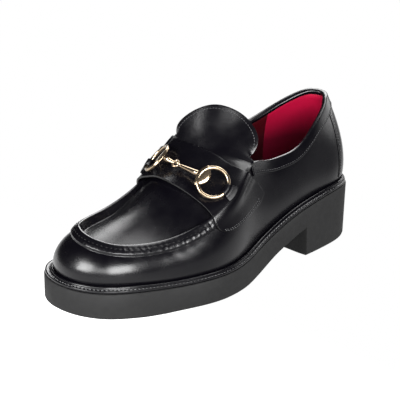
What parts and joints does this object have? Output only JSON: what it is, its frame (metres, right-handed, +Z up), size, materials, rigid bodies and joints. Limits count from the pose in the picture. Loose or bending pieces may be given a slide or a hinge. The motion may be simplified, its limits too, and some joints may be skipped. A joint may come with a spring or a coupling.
{
  "type": "horsebit loafer",
  "caption": "Left slip-on leather loafer with a raised moc seam, a rounded tongue, a saddle strap carrying a ringed bit, a bound topline and a thick rubber sole with a block heel",
  "frame": {"origin": "on the floor under the centre of the bounding box of the standing shoe", "axes": "+X towards the toe, +Y towards the lateral (outer) side, +Z up"},
  "size_m": [0.2672, 0.1006, 0.1201],
  "materials": {
    "black_leather": "smooth polished black calf with a soft sheen",
    "lining_leather": "matt crimson lining leather",
    "grey_rubber": "matt dark grey moulded rubber",
    "pale_gilt": "polished pale gilt"
  },
  "bodies": {
    "root": {"outsole": "grey_rubber", "welt": "black_leather", "insole": "lining_leather", "upper": "black_leather", "tongue": "black_leather", "saddle": "black_leather", "collar_binding": "black_leather", "backstay": "black_leather", "bit_loop_lateral": "black_leather", "bit_loop_medial": "black_leather", "bit_bar_lateral": "pale_gilt", "bit_bar_medial": "pale_gilt"},
    "ring_lateral": {"bit_ring_lateral": "pale_gilt"},
    "ring_medial": {"bit_ring_medial": "pale_gilt"}
  },
  "joints": [
    {"name": "ring_lateral_spin", "type": "hinge", "parent": "root", "child": "ring_lateral", "pos_m": [0.02273, 0.02812, 0.0792], "axis": [0.5296, 0.5795, 0.6195], "continuous": true},
    {"name": "ring_medial_spin", "type": "hinge", "parent": "root", "child": "ring_medial", "pos_m": [0.02644, -0.02548, 0.084], "axis": [0.5146, -0.5096, 0.6895], "continuous": true}
  ]
}
